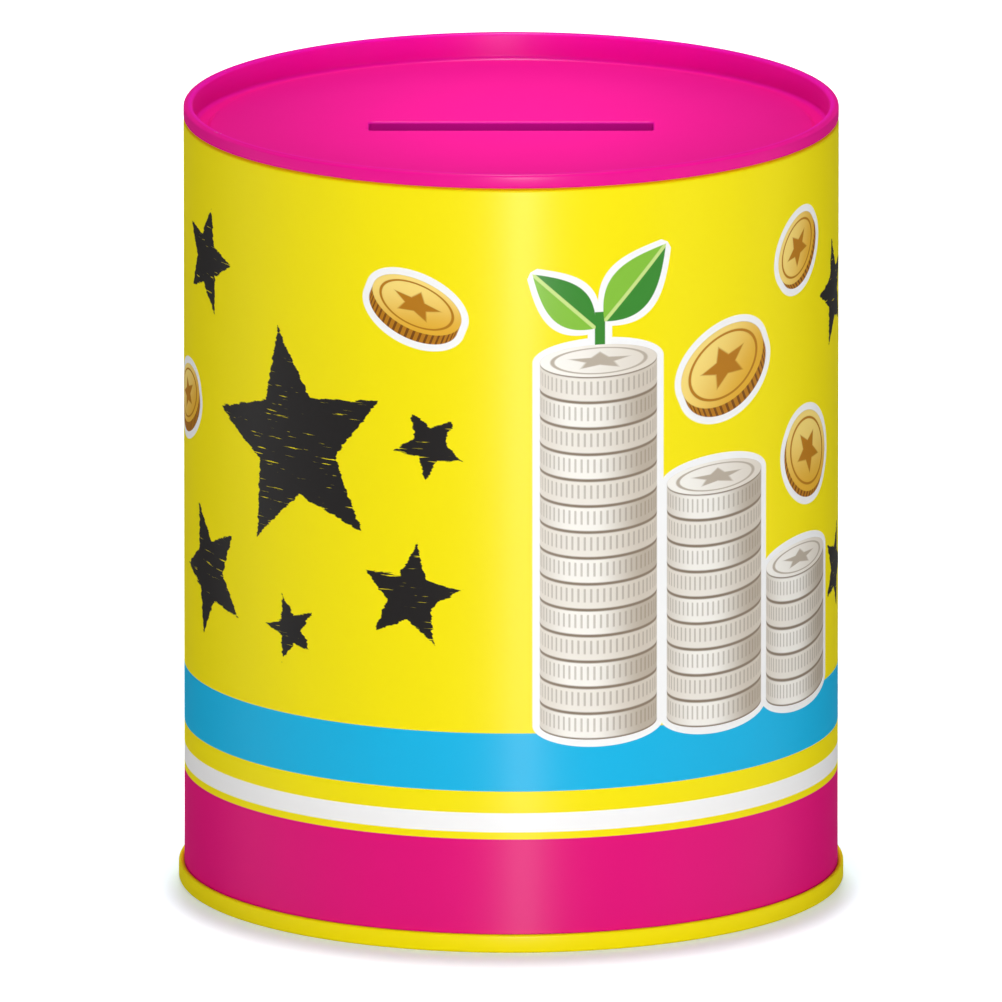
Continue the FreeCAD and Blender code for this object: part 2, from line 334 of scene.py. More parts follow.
gold = {
    "light": ink(255, 226, 128),
    "mid": ink(232, 178, 52),
    "dark": ink(186, 122, 22),
    "line": ink(122, 72, 10),
}
pale = {
    "light": ink(255, 252, 245),
    "mid": ink(233, 225, 213),
    "dark": ink(190, 178, 162),
    "line": ink(138, 122, 104),
}
leafInk = {"light": ink(136, 196, 62), "dark": ink(58, 138, 48), "vein": ink(206, 230, 140)}
printEdge = 0.12  # softness of a printed edge
borderWidth = 1.1  # white round each motif


def turnedBy(tree, u, v, turn):  # the two lengths along axes turned by an angle
    cosTurn, sinTurn = calc(tree, "COSINE", turn), calc(tree, "SINE", turn)
    along = calc(tree, "MULTIPLY_ADD", u, cosTurn, calc(tree, "MULTIPLY", v, sinTurn))
    upward = calc(tree, "SUBTRACT", calc(tree, "MULTIPLY", v, cosTurn), calc(tree, "MULTIPLY", u, sinTurn))
    return along, upward


def sweptEllipse(tree, u, v, major, minor, low, high):  # an ellipse slid from low to high
    slid = calc(tree, "SUBTRACT", v, calc(tree, "MINIMUM", calc(tree, "MAXIMUM", v, low), high))
    return lengthOf(tree, calc(tree, "DIVIDE", u, major), calc(tree, "DIVIDE", slid, minor))


starMark, entry, leave = newGroup(
    "starMark",
    {"Across": 0.0, "Up": 0.0, "CentreX": 0.0, "CentreY": 0.0, "Radius": 10.0, "Turn": 0.0, "Ragged": 0.0,
     "Soft": printEdge},
    {"Mark": "NodeSocketFloat"},
)
waist = 0.46  # inner corners, as a share of the points' radius
edgeRun = math.hypot(1 - waist * math.cos(math.pi / 5), waist * math.sin(math.pi / 5))
edgeX = waist * math.sin(math.pi / 5) / edgeRun
edgeAngle = math.acos(edgeX)
dx = calc(starMark, "SUBTRACT", entry["Across"], entry["CentreX"])
dy = calc(starMark, "SUBTRACT", entry["Up"], entry["CentreY"])
bearing = calc(starMark, "ADD", calc(starMark, "ARCTAN2", dx, dy), entry["Turn"])
folded = calc(starMark, "ABSOLUTE", calc(starMark, "WRAP", bearing, math.pi / 5, -math.pi / 5))
reach = calc(starMark, "MULTIPLY", lengthOf(starMark, dx, dy),
             calc(starMark, "COSINE", calc(starMark, "SUBTRACT", folded, edgeAngle)))
gap = calc(starMark, "SUBTRACT", reach, calc(starMark, "MULTIPLY", entry["Radius"], edgeX))
gap = calc(starMark, "ADD", gap, entry["Ragged"])
plug(starMark, leave["Mark"], calc(starMark, "SUBTRACT", 0.5, calc(starMark, "DIVIDE", gap, entry["Soft"]),
                                   clamp=True))

coinMark, entry, leave = newGroup(
    "coinMark",
    {"Across": 0.0, "Up": 0.0, "CentreX": 0.0, "CentreY": 0.0, "Radius": 8.0, "Squash": 0.7, "Turn": 0.0,
     "Border": borderWidth},
    {"Outline": "NodeSocketFloat", "Fill": "NodeSocketFloat", "Colour": "NodeSocketColor"},
)
dx = calc(coinMark, "SUBTRACT", entry["Across"], entry["CentreX"])
dy = calc(coinMark, "SUBTRACT", entry["Up"], entry["CentreY"])
along, upward = turnedBy(coinMark, dx, dy, entry["Turn"])
minor = calc(coinMark, "MULTIPLY", entry["Radius"], entry["Squash"])
coinThickness = 0.24  # as a share of the radius
squashed = calc(coinMark, "MULTIPLY", entry["Squash"], entry["Squash"])
tilt = calc(coinMark, "SQRT", calc(coinMark, "SUBTRACT", 1.0, squashed))
edgeDrop = calc(coinMark, "MULTIPLY", calc(coinMark, "MULTIPLY", entry["Radius"], coinThickness), tilt)
dropFoot = calc(coinMark, "MULTIPLY", edgeDrop, -1.0)
whole = sweptEllipse(coinMark, along, upward, entry["Radius"], minor, dropFoot, 0.0)
bordered = sweptEllipse(coinMark, along, upward, calc(coinMark, "ADD", entry["Radius"], entry["Border"]),
                        calc(coinMark, "ADD", minor, entry["Border"]), dropFoot, 0.0)
faceU = calc(coinMark, "DIVIDE", along, entry["Radius"])
faceV = calc(coinMark, "DIVIDE", upward, minor)
faceOut = lengthOf(coinMark, faceU, faceV)
slope = calc(coinMark, "MULTIPLY_ADD", faceU, -0.45, calc(coinMark, "MULTIPLY", faceV, 0.6))
faceInk = blendInk(coinMark, ease(coinMark, slope, -0.7, 0.6), gold["mid"], gold["light"])
faceInk = blendInk(coinMark, band(coinMark, faceOut, 0.78, 0.84, 0.02), faceInk, gold["dark"])
crest = placeGroup(coinMark, starMark, Across=faceU, Up=faceV, Radius=0.56, Soft=0.04)
faceInk = blendInk(coinMark, crest["Mark"], faceInk, gold["dark"])
reeds = calc(coinMark, "FRACT", calc(coinMark, "MULTIPLY", calc(coinMark, "ARCSINE", faceU), 7.0))
sideInk = blendInk(coinMark, calc(coinMark, "LESS_THAN", reeds, 0.4), gold["dark"], gold["line"])
plug(coinMark, leave["Outline"], inside(coinMark, calc(coinMark, "SUBTRACT", bordered, 1.0), 0.02))
plug(coinMark, leave["Fill"], inside(coinMark, calc(coinMark, "SUBTRACT", whole, 1.0), 0.02))
onFace = inside(coinMark, calc(coinMark, "SUBTRACT", faceOut, 1.0), 0.02)
plug(coinMark, leave["Colour"], blendInk(coinMark, onFace, sideInk, faceInk))

stackMark, entry, leave = newGroup(
    "stackMark",
    {"Across": 0.0, "Up": 0.0, "CentreX": 0.0, "Foot": 0.0, "Radius": 9.0, "Coins": 5.0, "Coin": 4.0,
     "Border": borderWidth},
    {"Outline": "NodeSocketFloat", "Fill": "NodeSocketFloat", "Colour": "NodeSocketColor"},
)
stackSquash = 0.27
dx = calc(stackMark, "SUBTRACT", entry["Across"], entry["CentreX"])
dy = calc(stackMark, "SUBTRACT", entry["Up"], entry["Foot"])
minor = calc(stackMark, "MULTIPLY", entry["Radius"], stackSquash)
tall = calc(stackMark, "MULTIPLY", entry["Coins"], entry["Coin"])
whole = sweptEllipse(stackMark, dx, dy, entry["Radius"], minor, 0.0, tall)
bordered = sweptEllipse(stackMark, dx, dy, calc(stackMark, "ADD", entry["Radius"], entry["Border"]),
                        calc(stackMark, "ADD", minor, entry["Border"]), 0.0, tall)
faceU = calc(stackMark, "DIVIDE", dx, entry["Radius"])
faceV = calc(stackMark, "DIVIDE", calc(stackMark, "SUBTRACT", dy, tall), minor)
faceOut = lengthOf(stackMark, faceU, faceV)
bulge = calc(stackMark, "SUBTRACT", 1.0, calc(stackMark, "MULTIPLY", faceU, faceU))
bulge = calc(stackMark, "SQRT", calc(stackMark, "MAXIMUM", bulge, 0.0))
layer = calc(stackMark, "DIVIDE", calc(stackMark, "MULTIPLY_ADD", bulge, minor, dy), entry["Coin"])
within = calc(stackMark, "FRACT", layer)
parity = calc(stackMark, "FLOORED_MODULO", calc(stackMark, "FLOOR", layer), 2.0)
everyOther = calc(stackMark, "MULTIPLY", parity, 0.5)
turnAway = calc(stackMark, "ABSOLUTE", calc(stackMark, "ADD", faceU, 0.3))
sideInk = blendInk(stackMark, ease(stackMark, turnAway, 0.1, 1.1), pale["light"], pale["dark"])
sideInk = blendInk(stackMark, everyOther, sideInk, pale["mid"])
reeds = calc(stackMark, "MULTIPLY_ADD", calc(stackMark, "ARCSINE", faceU), 9.0, everyOther)
reedMask = calc(stackMark, "LESS_THAN", calc(stackMark, "FRACT", reeds), 0.35)
reedMask = calc(stackMark, "MULTIPLY", reedMask, band(stackMark, within, 0.3, 0.82, 0.05))
sideInk = blendInk(stackMark, calc(stackMark, "MULTIPLY", reedMask, 0.45), sideInk, pale["line"])
joint = calc(stackMark, "SUBTRACT", 1.0, band(stackMark, within, 0.06, 0.95, 0.05))
sideInk = blendInk(stackMark, joint, sideInk, pale["line"])
topInk = blendInk(stackMark, ease(stackMark, faceU, -0.8, 0.9), pale["light"], pale["mid"])
topInk = blendInk(stackMark, band(stackMark, faceOut, 0.76, 0.83, 0.03), topInk, pale["dark"])
crest = placeGroup(stackMark, starMark, Across=faceU, Up=faceV, Radius=0.55, Soft=0.05)
topInk = blendInk(stackMark, crest["Mark"], topInk, pale["dark"])
plug(stackMark, leave["Outline"], inside(stackMark, calc(stackMark, "SUBTRACT", bordered, 1.0), 0.02))
plug(stackMark, leave["Fill"], inside(stackMark, calc(stackMark, "SUBTRACT", whole, 1.0), 0.02))
onFace = inside(stackMark, calc(stackMark, "SUBTRACT", faceOut, 1.0), 0.03)
plug(stackMark, leave["Colour"], blendInk(stackMark, onFace, sideInk, topInk))

leafMark, entry, leave = newGroup(
    "leafMark",
    {"Across": 0.0, "Up": 0.0, "CentreX": 0.0, "CentreY": 0.0, "Length": 14.0, "Turn": 0.0,
     "Border": borderWidth},
    {"Outline": "NodeSocketFloat", "Fill": "NodeSocketFloat", "Colour": "NodeSocketColor"},
)
leafBelly, leafTaper, veinHalf = 1.25, 0.6, 0.28
dx = calc(leafMark, "SUBTRACT", entry["Across"], entry["CentreX"])
dy = calc(leafMark, "SUBTRACT", entry["Up"], entry["CentreY"])
along, aside = turnedBy(leafMark, dy, dx, entry["Turn"])
along = calc(leafMark, "DIVIDE", along, entry["Length"])
share = calc(leafMark, "ADD", along, 0.0, clamp=True)  # held between foot and tip
past = calc(leafMark, "ABSOLUTE", calc(leafMark, "SUBTRACT", along, share))
past = calc(leafMark, "MULTIPLY", past, entry["Length"])
belly = calc(leafMark, "MULTIPLY", share, calc(leafMark, "SUBTRACT", 1.0, share))
belly = calc(leafMark, "MULTIPLY", belly, calc(leafMark, "MULTIPLY_ADD", share, -leafTaper, leafBelly))
belly = calc(leafMark, "MULTIPLY", belly, entry["Length"])
over = calc(leafMark, "SUBTRACT", calc(leafMark, "ABSOLUTE", aside), belly)
over = calc(leafMark, "ADD", over, calc(leafMark, "MULTIPLY", past, 3.0))
halfInk = blendInk(leafMark, calc(leafMark, "GREATER_THAN", aside, 0.0), leafInk["light"], leafInk["dark"])
veinOff = calc(leafMark, "SUBTRACT", calc(leafMark, "ABSOLUTE", aside), veinHalf)
halfInk = blendInk(leafMark, inside(leafMark, veinOff, printEdge), halfInk, leafInk["vein"])
bordered = calc(leafMark, "SUBTRACT", over, entry["Border"])
plug(leafMark, leave["Outline"], inside(leafMark, bordered, printEdge))
plug(leafMark, leave["Fill"], inside(leafMark, over, printEdge))
plug(leafMark, leave["Colour"], halfInk)
print("shader groups made")


# materials

wallPrint = {
    "repeats": 2,  # the same picture at the front and at the back
    "ground": ink(255, 237, 2),
    "stripes": [  # foot and head above the base, and ink
        (2.4, 17.45, ink(231, 0, 124)),  # runs down behind the base seam
        (18.55, 21.5, ink(255, 255, 255)),
        (24.85, 33.85, ink(20, 186, 236)),
    ],
    "stacks": [(13.5, 14), (33.6, 9), (53.2, 5)],  # place round the wall, coins
    "stackFoot": 35.0,
    "stackRadius": 9.2,
    "leaves": [(14.2, 97.0, 15.0, 42), (12.8, 96.0, 13.0, -48)],  # foot, length, degrees from upright
    "stem": (13.5, 91.5, 98.5, 0.8),
    "coins": [  # place, radius, squash, degrees turned
        (35.0, 88.0, 8.6, 0.66, 24),
        (56.0, 71.0, 7.2, 0.84, -32),
        (-14.5, 99.5, 7.4, 0.52, -22),
        (52.5, 103.0, 6.2, 0.72, 40),
        (-69.4, 77.0, 7.4, 0.6, 18),
    ],
    "stars": [  # place, radius, degrees turned
        (-36.0, 76.0, 17.5, 10),
        (-59.0, 100.0, 8.5, -14),
        (-58.0, 52.0, 10.5, 24),
        (-15.5, 54.5, 8.0, -8),
        (-36.5, 47.0, 5.0, 18),
        (-12.5, 78.0, 5.6, 30),
        (70.2, 50.0, 7.0, -20),
        (68.8, 93.0, 8.4, 12),
    ],
    "starInk": ink(22, 18, 18),
    "white": ink(255, 255, 255),
}


varnish = {
    "gloss": 0.3,  # roughness in the middle of its spread
    "spread": 0.045,
    "shine": 0.16,
    "peel": 1100.0,
    "depth": 0.006,  # of the peel, in mm
}


def makeWallMaterial():
    material, tree, shader, place = newMaterial("printedTinplate", Specular_IOR_Level=varnish["shine"])
    split = tree.nodes.new("ShaderNodeSeparateXYZ")
    plug(tree, split.inputs[0], place)
    angle = calc(tree, "ARCTAN2", split.outputs["X"], calc(tree, "MULTIPLY", split.outputs["Y"], -1.0))
    repeat = math.pi * rimRadius / wallPrint["repeats"]
    across = calc(tree, "WRAP", calc(tree, "MULTIPLY", angle, rimRadius), repeat, -repeat)
    up = calc(tree, "DIVIDE", split.outputs["Z"], mm)
    flat = tree.nodes.new("ShaderNodeCombineXYZ")
    plug(tree, flat.inputs["X"], across)
    plug(tree, flat.inputs["Y"], up)
    paper = flat.outputs[0]

    colour = wallPrint["ground"]
    for foot, head, stripeInk in wallPrint["stripes"]:
        colour = blendInk(tree, band(tree, up, foot, head, printEdge), colour, stripeInk)

    marks = []
    for centreX, centreY, radius, squash, turn in wallPrint["coins"]:
        marks.append(placeGroup(tree, coinMark, Across=across, Up=up, CentreX=centreX, CentreY=centreY,
                                Radius=radius, Squash=squash, Turn=math.radians(turn)))
    for centreX, coins in wallPrint["stacks"]:
        marks.append(placeGroup(tree, stackMark, Across=across, Up=up, CentreX=centreX,
                                Foot=wallPrint["stackFoot"], Radius=wallPrint["stackRadius"], Coins=coins))
    for footX, footY, leafLength, turn in wallPrint["leaves"]:
        marks.append(placeGroup(tree, leafMark, Across=across, Up=up, CentreX=footX, CentreY=footY,
                                Length=leafLength, Turn=math.radians(turn)))

    stemX, stemFoot, stemHead, stemHalf = wallPrint["stem"]
    stemOff = calc(tree, "ABSOLUTE", calc(tree, "SUBTRACT", across, stemX))
    stemRun = band(tree, up, stemFoot, stemHead, printEdge)
    stemBorder = calc(tree, "SUBTRACT", stemOff, stemHalf + borderWidth)
    outline = calc(tree, "MULTIPLY", inside(tree, stemBorder, printEdge), stemRun)
    for mark in marks:
        outline = calc(tree, "MAXIMUM", outline, mark["Outline"])
    colour = blendInk(tree, outline, colour, wallPrint["white"])
    stemEdge = calc(tree, "SUBTRACT", stemOff, stemHalf)
    stem = calc(tree, "MULTIPLY", inside(tree, stemEdge, printEdge), stemRun)
    colour = blendInk(tree, stem, colour, leafInk["dark"])
    for mark in marks:
        colour = blendInk(tree, mark["Fill"], colour, mark["Colour"])

    brushTurn = (0, 0, 0.5)
    frayed = noiseAt(tree, stretched(tree, paper, (0.35, 1.1, 1), brushTurn), 1.0, 4.0, 0.6)
    ragged = calc(tree, "MULTIPLY_ADD", frayed, 1.6, -0.8)
    streak = noiseAt(tree, stretched(tree, paper, (0.16, 2.6, 1), brushTurn), 1.0, 3.0, 0.55)
    cover = ease(tree, streak, 0.29, 0.36)  # dry brush streaks
    for centreX, centreY, radius, turn in wallPrint["stars"]:
        star = placeGroup(tree, starMark, Across=across, Up=up, CentreX=centreX, CentreY=centreY,
                          Radius=radius, Turn=math.radians(turn), Ragged=ragged)
        colour = blendInk(tree, calc(tree, "MULTIPLY", star["Mark"], cover), colour, wallPrint["starInk"])

    skin = placeGroup(tree, varnishSkin, Place=place, Peel=varnish["peel"], Gloss=varnish["gloss"],
                      Spread=varnish["spread"])
    plug(tree, shader["Base Color"], tinted(tree, colour, skin["Tint"]))
    plug(tree, shader["Roughness"], satin(tree, skin["Roughness"]))
    plug(tree, shader["Normal"], raiseSurface(tree, skin["Height"], varnish["depth"]))
    return material


def makeLacquerMaterial(name, lacquer, panel, chuck, side, rimLevel):
    material, tree, shader, place = newMaterial(name, Specular_IOR_Level=varnish["shine"])
    skin = placeGroup(tree, varnishSkin, Place=place, Peel=lacquer["peel"], Gloss=varnish["gloss"],
                      Spread=varnish["spread"])
    wear = placeGroup(tree, rubbedRim, Place=place, Level=rimLevel, Reach=lacquer["wearReach"],
                      Amount=lacquer["wear"])["Wear"]
    liftMasks = placeGroup(tree, drawnMetal, Place=place, Panel=panel, Chuck=chuck, Side=side)
    # painted light: the recess wall and the opening's lip take the lighter, cooler ink, which offsets the
    # shade there
    coat = tinted(tree, blendInk(tree, liftMasks["PaintedLift"], lacquer["flat"], lacquer["drawn"]), skin["Tint"])
    plug(tree, shader["Base Color"], blendInk(tree, wear, coat, lacquer["bare"]))
    plug(tree, shader["Metallic"], wear)
    dulled = calc(tree, "MULTIPLY_ADD", liftMasks["Lip"], lacquer["lipDull"], skin["Roughness"])
    plug(tree, shader["Roughness"], satin(tree, dulled))
    plug(tree, shader["Normal"], raiseSurface(tree, skin["Height"], varnish["depth"]))
    return material


tinplate = {"metal": 0.75, "dull": ink(176, 174, 168), "bright": ink(216, 214, 208)}
plastic = {"shine": 0.42, "clean": ink(34, 34, 36), "scuffed": ink(66, 66, 68)}
sealant = {"shine": 0.3, "dark": ink(150, 140, 116), "light": ink(178, 168, 142)}


def makeTinplateMaterial():
    material, tree, shader, place = newMaterial("bareTinplate", Metallic=tinplate["metal"])
    rolled = noiseAt(tree, stretched(tree, place, (1, 1, 0.03)), 2600.0, 3.0)
    bloom = noiseAt(tree, place, 130.0, 5.0, 0.6)
    plug(tree, shader["Base Color"], blendInk(tree, bloom, tinplate["dull"], tinplate["bright"]))
    plug(tree, shader["Roughness"], calc(tree, "MULTIPLY_ADD", bloom, 0.22, 0.3))
    plug(tree, shader["Normal"], raiseSurface(tree, rolled, 0.004))
    return material


def makePlasticMaterial():
    material, tree, shader, place = newMaterial("softPlastic", Specular_IOR_Level=plastic["shine"])
    grain = noiseAt(tree, place, 2400.0, 2.0)
    scuff = noiseAt(tree, stretched(tree, place, (0.4, 1, 1), (0, 0, 0.7)), 240.0, 5.0, 0.65)
    worn = ease(tree, scuff, 0.6, 0.74)
    plug(tree, shader["Base Color"], blendInk(tree, worn, plastic["clean"], plastic["scuffed"]))
    plug(tree, shader["Roughness"], calc(tree, "MULTIPLY_ADD", worn, 0.16, 0.42))
    plug(tree, shader["Normal"], raiseSurface(tree, grain, 0.012))
    return material


def makeCompoundMaterial():
    material, tree, shader, place = newMaterial("sealingCompound", Specular_IOR_Level=sealant["shine"])
    lumps = noiseAt(tree, place, 900.0, 3.0)
    plug(tree, shader["Base Color"], blendInk(tree, lumps, sealant["dark"], sealant["light"]))
    plug(tree, shader["Roughness"], calc(tree, "MULTIPLY_ADD", lumps, 0.2, 0.5))
    plug(tree, shader["Normal"], raiseSurface(tree, lumps, 0.02))
    return material


wallMaterial = makeWallMaterial()
tinplateMaterial = makeTinplateMaterial()
plasticMaterial = makePlasticMaterial()
compoundMaterial = makeCompoundMaterial()
print("materials made")


# double seams, shared by the body and both ends

seam = {
    "bodySheet": 0.22,
    "endSheet": 0.25,
    "gap": 0.05,
    "topHeight": 2.2,
    "baseHeight": 2.85,
    "crownBend": 0.35,
    "hookGap": 0.25,
    "film": 0.12,
}
seam["hookBend"] = (seam["bodySheet"] + seam["endSheet"]) / 2 + seam["gap"]
seam["turnLevel"] = seam["endSheet"] + 2 * seam["gap"] + seam["film"] + seam["bodySheet"] / 2
spinSteps = 288


def seamLayers(insideRadius, seamHeight):  # middle radius of each layer, and how far the folds reach
    wall = insideRadius + seam["bodySheet"] / 2
    return {
        "chuck": insideRadius - seam["gap"] - seam["endSheet"] / 2,
        "wall": wall,
        "coverHook": wall + seam["hookBend"],
        "bodyHook": wall + 2 * seam["hookBend"],
        "outer": wall + 3 * seam["hookBend"],
        "foot": seamHeight - seam["endSheet"] / 2,
        "hookEnd": seamHeight - seam["endSheet"] - seam["hookGap"],
    }


neckRadius = rimRadius - 2 * seam["bodySheet"] - 2 * seam["endSheet"] - 3 * seam["gap"]
baseLayers = seamLayers(rimRadius - seam["bodySheet"], seam["baseHeight"])
topLayers = seamLayers(neckRadius, seam["topHeight"])


def fromTop(level):
    return tinHeight - level


def fromBase(level):
    return level


def endRim(layers, height):
    hookTop = seam["turnLevel"] + seam["bodySheet"] / 2 + seam["hookGap"]
    corners = [
        (layers["chuck"], height(seam["endSheet"] / 2)),
        (layers["outer"], height(seam["endSheet"] / 2)),
        (layers["outer"], height(layers["foot"])),
        (layers["coverHook"], height(layers["foot"])),
        (layers["coverHook"], height(hookTop)),
    ]
    return corners, [seam["crownBend"]] * 2 + [seam["hookBend"]] * 2


def bodyHook(layers, height):
    return [
        (layers["wall"], height(seam["turnLevel"])),
        (layers["bodyHook"], height(seam["turnLevel"])),
        (layers["bodyHook"], height(layers["hookEnd"])),
    ]


# body wall with its folded side seam

bodySize = {
    "shoulderLevel": 2.3,
    "shoulderFall": 0.317,
    "shoulderBend": 0.3,
    "foldEdge": 1.75,  # where the folded edge ends, right of the back's middle
    "groove": 2.15,
    "grooveDepth": 0.42,
    "foldFoot": 7.05,
    "foldHead": 114.55,
    "foldWidth": 3.8,
    "foldThickness": 0.75,
    "foldBend": 0.45,  # as a share of its thickness
    "foldLie": 0.02,  # between the fold and the wall
    "grooveDraw": 0.2,  # how far the groove's edge moves in under the fold
    "backFrom": 40.0,  # the wall behind this depth is cut for the fold
    "cutHalf": 8.0,
    "cutRise": 58.0,
}


def onWall(at):
    return abs(at.z - tinHeight / 2) < bodySize["cutRise"]


def atBack(at):
    return onWall(at) and at.y > bodySize["backFrom"]


def onGroove(at):
    beside = abs(at.x - bodySize["groove"]) < placeSlack
    return beside and bodySize["foldFoot"] - placeSlack < at.z < bodySize["foldHead"] + placeSlack


def makeBody():
    corners = bodyHook(baseLayers, fromBase)[::-1] + [
        (baseLayers["wall"], fromTop(bodySize["shoulderLevel"] + bodySize["shoulderFall"])),
        (topLayers["wall"], fromTop(bodySize["shoulderLevel"])),
    ] + bodyHook(topLayers, fromTop)
    bends = [seam["hookBend"]] * 2 + [bodySize["shoulderBend"]] * 2 + [seam["hookBend"]] * 2
    body = drawLine("tinBody", bendLine(corners, bends))
    spinRound(spinSteps)
    faceTheSheet(body, lambda at: onWall(at) and at.y < -bodySize["backFrom"], (0, -1, 0))

    for cut in (bodySize["foldFoot"], bodySize["foldHead"]):
        pickFaces(body, lambda at, normal: atBack(at) and abs(at.x) < bodySize["cutHalf"])
        bpy.ops.mesh.bisect(plane_co=(0, 0, cut * mm), plane_no=(0, 0, 1))
    pickFaces(body, lambda at, normal: atBack(at) and 0 < at.x < bodySize["foldWidth"])
    bpy.ops.mesh.bisect(plane_co=(bodySize["foldEdge"] * mm, 0, 0), plane_no=(1, 0, 0))
    pickVerts(body, lambda at: atBack(at) and onGroove(at))
    bpy.ops.transform.translate(value=(-bodySize["grooveDraw"] * mm, -bodySize["grooveDepth"] * mm, 0))
    thicken(body, seam["bodySheet"], wallMaterial, tinplateMaterial)
    finishPiece(body, "body_wall", "tin")


def makeSideFold():
    clearSelection()
    foldMiddle = (bodySize["foldFoot"] + bodySize["foldHead"]) / 2
    depth = rimRadius - seam["bodySheet"] - bodySize["foldThickness"] / 2 - bodySize["foldLie"]
    bpy.ops.mesh.primitive_cube_add(size=mm, location=(0, depth * mm, foldMiddle * mm))
    fold = bpy.context.object
    fold.name = fold.data.name = "sideFold"
    bpy.ops.object.mode_set(mode="EDIT")
    tall = bodySize["foldHead"] - bodySize["foldFoot"]
    bpy.ops.transform.resize(value=(bodySize["foldWidth"], bodySize["foldThickness"], tall),
                             center_override=(0, depth * mm, foldMiddle * mm))
    bpy.ops.object.mode_set(mode="OBJECT")
    bpy.ops.object.transform_apply(location=True, rotation=True, scale=True)
    bend = fold.modifiers.new("bend", "BEVEL")
    bend.width = bodySize["foldThickness"] * bodySize["foldBend"] * mm
    bend.segments = 4
    bpy.ops.object.modifier_apply(modifier="bend")
    fold.data.materials.append(tinplateMaterial)
    finishPiece(fold, None, "tin")


makeBody()
makeSideFold()


# top end with the coin slot

lidSize = {
    "recess": 3.6,
    "grooveWidth": 2.2,
    "grooveDepth": 0.6,
    "panelBend": 0.5,
    "chuckBend": 1.0,
    "panelStart": 38.0,  # the turned part begins here, and the slot's panel is bridged to it
    "slotLength": 43.0,
    "slotWidth": 6.0,
    "slotCorner": 0.6,
    "slotLip": 2.2,
    "slotBend": 0.3,
    "slotMargin": 0.9,
    "slotReach": 30.0,  # all of the slot's panel lies within this radius
}
lidLacquer = {
    "flat": ink(242, 10, 147),
    # painted light: lighter, cooler ink for the recess wall and the slot's lip, offsetting their shade
    "drawn": ink(248, 6, 178),
    "bare": ink(196, 196, 192),
    "peel": 1000.0,
    "wear": 0.2,
    "wearReach": 0.06,
    "lipDull": 0.34,
}
lidMaterial = makeLacquerMaterial("pinkLacquer", lidLacquer, fromTop(lidSize["recess"]), topLayers["chuck"],
                                  1.0, tinHeight)


def makeLid():
    panel = fromTop(lidSize["recess"] + seam["endSheet"] / 2)
    grooveInside = topLayers["chuck"] - lidSize["grooveWidth"]
    rim, rimBends = endRim(topLayers, fromTop)
    corners = [
        (lidSize["panelStart"], panel),
        (grooveInside - lidSize["grooveDepth"], panel),
        (grooveInside, panel - lidSize["grooveDepth"]),
        (topLayers["chuck"], panel - lidSize["grooveDepth"]),
    ] + rim
    bends = [lidSize["panelBend"]] * 2 + [lidSize["chuckBend"]] + rimBends
    lid = drawLine("lidEnd", bendLine(corners, bends))
    spinRound(spinSteps)

    grow = seam["endSheet"] / 2  # the lip's middle line stands this far outside the slot
    halfLength, halfWidth = lidSize["slotLength"] / 2 + grow, lidSize["slotWidth"] / 2 + grow
    margin = lidSize["slotMargin"]
    bpy.ops.mesh.select_all(action="DESELECT")
    bpy.ops.mesh.primitive_plane_add(size=2 * mm, location=(0, 0, panel * mm))
    bpy.ops.transform.resize(value=(halfLength + margin, halfWidth + margin, 1),
                             center_override=(0, 0, panel * mm))
    bpy.ops.mesh.bevel(affect="VERTICES", offset=(lidSize["slotCorner"] + grow + margin) * mm, segments=8)
    pickFaces(lid, lambda at, normal: at.xy.length < lidSize["slotWidth"])  # the new plane
    bpy.ops.mesh.inset(thickness=margin * mm)
    lipFall = (lidSize["slotLip"] + grow) * mm
    bpy.ops.mesh.extrude_region_move(TRANSFORM_OT_translate={"value": (0, 0, -lipFall)})
    bpy.ops.mesh.delete(type="FACE")

    def onMargin(at):
        outside = max(abs(at.x) - halfLength, abs(at.y) - halfWidth)
        return outside > 0.3 * margin or cornerGap(at) > 0.5 * margin

    def cornerGap(at):  # outside the rounded corners of the lip's line
        corner = lidSize["slotCorner"] + grow
        over = Vector((max(abs(at.x) - halfLength + corner, 0), max(abs(at.y) - halfWidth + corner, 0)))
        return over.length - corner

    def onPanel(at):
        return abs(at.z - panel) < placeSlack

    def bySlot(at):
        return onPanel(at) and at.xy.length < lidSize["slotReach"]

    def onTurnedEdge(at):
        return onPanel(at) and abs(at.xy.length - lidSize["panelStart"]) < placeSlack

    pickVerts(lid, lambda at: onTurnedEdge(at) or (bySlot(at) and onMargin(at)))
    bpy.ops.mesh.select_mode(type="EDGE")
    bpy.ops.mesh.bridge_edge_loops()
    pickVerts(lid, lambda at: bySlot(at) and not onMargin(at))
    bpy.ops.mesh.select_mode(type="EDGE")
    bpy.ops.mesh.bevel(affect="EDGES", offset=lidSize["slotBend"] * mm, segments=6, profile=0.5)
    mergeDoubles()
    faceTheSheet(lid, lambda at: onPanel(at) and at.xy.length > lidSize["panelStart"], (0, 0, 1))
    thicken(lid, seam["endSheet"], lidMaterial, tinplateMaterial)
    finishPiece(lid, "top_end", "tin")


makeLid()


# base end with the stopper's hole

baseSize = {
    "recess": 5.0,
    "grooveWidth": 2.4,
    "grooveDepth": 0.8,
    "beadRadius": 33.0,
    "beadWidth": 7.0,
    "beadHeight": 0.8,
    "hole": 40.0,
    "holeLip": 3.4,
    "bend": 0.5,
    "chuckBend": 1.0,
}
baseLacquer = {
    "flat": wallPrint["ground"],
    # painted light: paler ink for the recess wall and the hole's lip, offsetting their shade
    "drawn": ink(255, 238, 40),
    "bare": lidLacquer["bare"],
    "peel": lidLacquer["peel"],
    "wear": 0.34,
    "wearReach": 0.2,
    "lipDull": lidLacquer["lipDull"],
}
baseMaterial = makeLacquerMaterial("yellowLacquer", baseLacquer, baseSize["recess"], baseLayers["chuck"],
                                   -1.0, 0.0)


